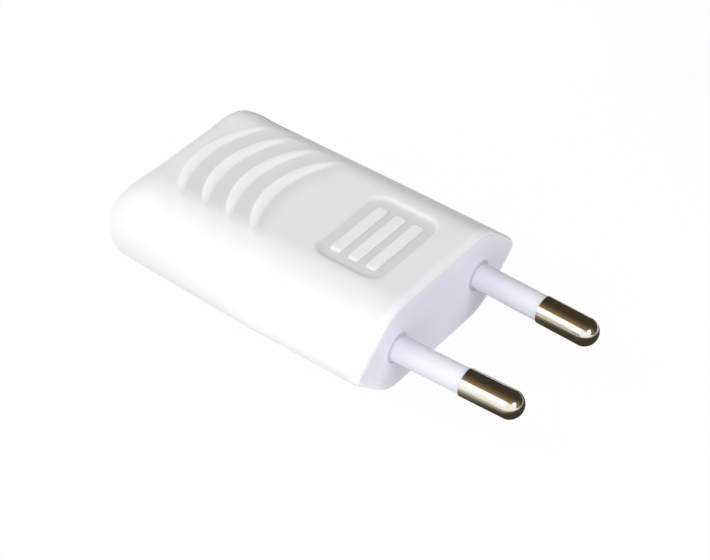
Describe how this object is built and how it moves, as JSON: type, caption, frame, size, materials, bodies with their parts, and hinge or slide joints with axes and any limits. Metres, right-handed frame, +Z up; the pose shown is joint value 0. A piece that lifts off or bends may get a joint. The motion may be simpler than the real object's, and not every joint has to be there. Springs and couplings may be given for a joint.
{
  "type": "europlug",
  "caption": "Flat mains plug wired by its user: soft hexagonal hood with ribbed finger grips and a sunk label panel, and slightly converging round pins with insulating sleeves.",
  "frame": {"origin": "middle of the overall length, on the mid plane between the pins, at the underside", "axes": "+X out along the pins, +Y towards the left pin, +Z up from the underside to the label panel"},
  "size_m": [0.0649, 0.036, 0.0148],
  "materials": {
    "hood_plastic": "white moulded plastic with a soft satin sheen",
    "carrier_plastic": "cool white moulded plastic",
    "sleeve_plastic": "cool white moulded insulation",
    "plated_brass": "bright nickel plate over turned brass",
    "zinc_steel": "bright zinc plate"
  },
  "bodies": {
    "root": {"hood": "hood_plastic", "pin_carrier": "carrier_plastic", "left_pin": "plated_brass", "right_pin": "plated_brass", "left_pin_sleeve": "sleeve_plastic", "right_pin_sleeve": "sleeve_plastic", "left_terminal_screw": "zinc_steel", "right_terminal_screw": "zinc_steel", "cord_clamp_bar": "carrier_plastic", "left_clamp_screw": "zinc_steel", "right_clamp_screw": "zinc_steel", "housing_screw": "zinc_steel"}
  },
  "joints": []
}
